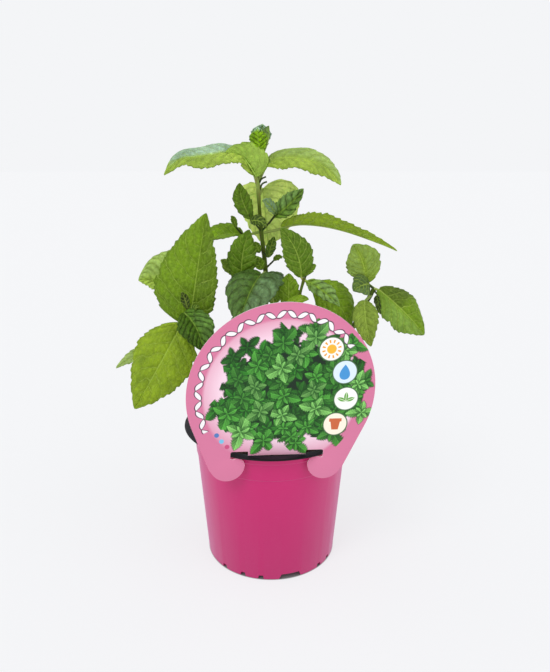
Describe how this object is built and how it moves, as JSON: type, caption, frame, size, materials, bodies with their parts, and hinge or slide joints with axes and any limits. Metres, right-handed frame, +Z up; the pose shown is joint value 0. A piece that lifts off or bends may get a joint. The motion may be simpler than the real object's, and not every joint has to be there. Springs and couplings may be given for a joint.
{
  "type": "potted spearmint",
  "caption": "Spearmint plant with toothed leaves on thin upright stems, in a thin tapered nursery pot of peat, with a round plant tag hooked over the pot's flange.",
  "frame": {"origin": "on the ground under the middle of the pot's foot, which is within 1 mm of the middle of the whole part's box", "axes": "+Z up, -Y towards the front, where the tag stands, +X to the right as seen from the front"},
  "size_m": [0.1749, 0.1046, 0.255],
  "materials": {
    "pot_plastic": "satin magenta-pink outside, black inside and on the flange",
    "tag_plastic": "printed, smooth, white at its cut edge",
    "peat": "moist and crumbly",
    "mint_leaf": "quilted, with a soft sheen"
  },
  "bodies": {
    "root": {"pot": "pot_plastic", "tag": "tag_plastic", "peat": "peat", "leafy_stem_main": "mint_leaf", "leafy_stem_left": "mint_leaf", "leafy_stem_middle": "mint_leaf", "leafy_stem_right": "mint_leaf", "leafy_stem_back": "mint_leaf"}
  },
  "joints": []
}
